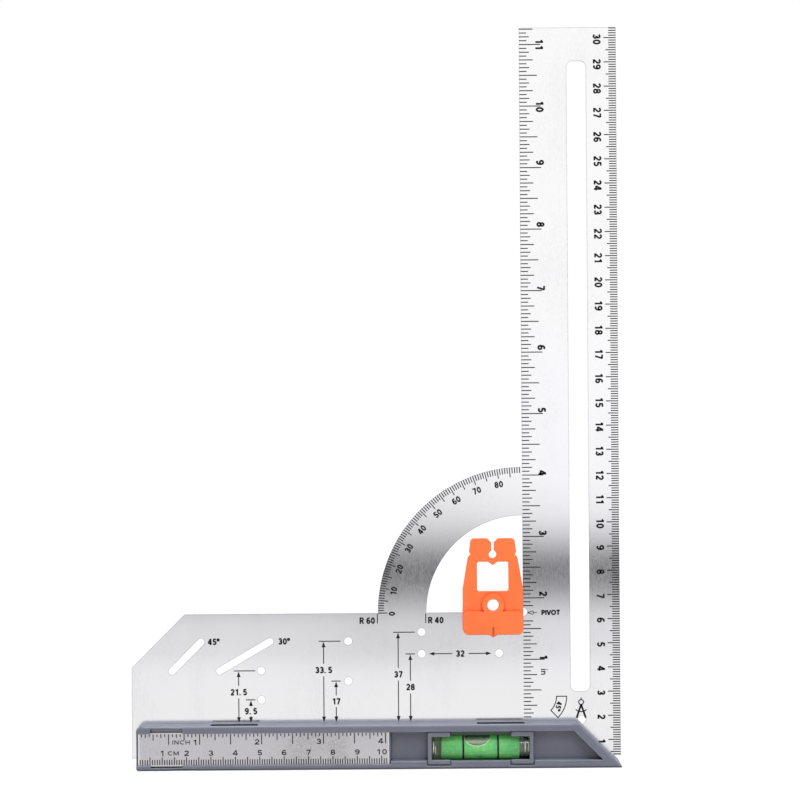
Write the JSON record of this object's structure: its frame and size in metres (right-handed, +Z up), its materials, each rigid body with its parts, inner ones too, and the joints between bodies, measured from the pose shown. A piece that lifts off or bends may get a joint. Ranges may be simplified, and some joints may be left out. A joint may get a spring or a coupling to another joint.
{
  "type": "l-square",
  "caption": "Steel L-square with protractor ring, marking holes and slots, on a moulded handle with pull-out depth rule, spirit vial and clip-on marking slider.",
  "frame": {"origin": "middle of the bounding box's underside, on the surface that the handle stands on", "axes": "+X along the handle towards the mitred end, +Y from the front with the rule and vial to the back, +Z up the blade"},
  "size_m": [0.202, 0.019, 0.3046],
  "materials": {
    "brushed_sheet": "brushed along the blade",
    "rule_steel": "fine matt",
    "screw_steel": "zinc plated",
    "handle_plastic": "fine satin",
    "slider_plastic": "satin",
    "clear_acrylic": "polished",
    "green_fluid": "clear",
    "air": "clear",
    "black_ink": "printed"
  },
  "bodies": {
    "square": {"steel_plate": "brushed_sheet", "handle_front": "handle_plastic", "handle_back": "handle_plastic", "handle_screws": "screw_steel", "vial_tube": "clear_acrylic", "vial_plug": "clear_acrylic", "vial_fluid": "green_fluid", "vial_line_left": "black_ink", "vial_line_right": "black_ink"},
    "rule": {"depth_rule": "rule_steel"},
    "slider": {"marking_slider": "slider_plastic"},
    "bubble": {"vial_bubble": "air"}
  },
  "joints": [
    {"name": "rule_slide", "type": "slide", "parent": "square", "child": "rule", "axis": [-1, 0, 0], "range_m": [0, 0.085]},
    {"name": "slider_slide", "type": "slide", "parent": "square", "child": "slider", "axis": [-1, 0, 0], "range_m": [0, 0.014]},
    {"name": "bubble_slide", "type": "slide", "parent": "square", "child": "bubble", "axis": [1, 0, 0], "range_m": [-0.0081, 0.0109]}
  ]
}
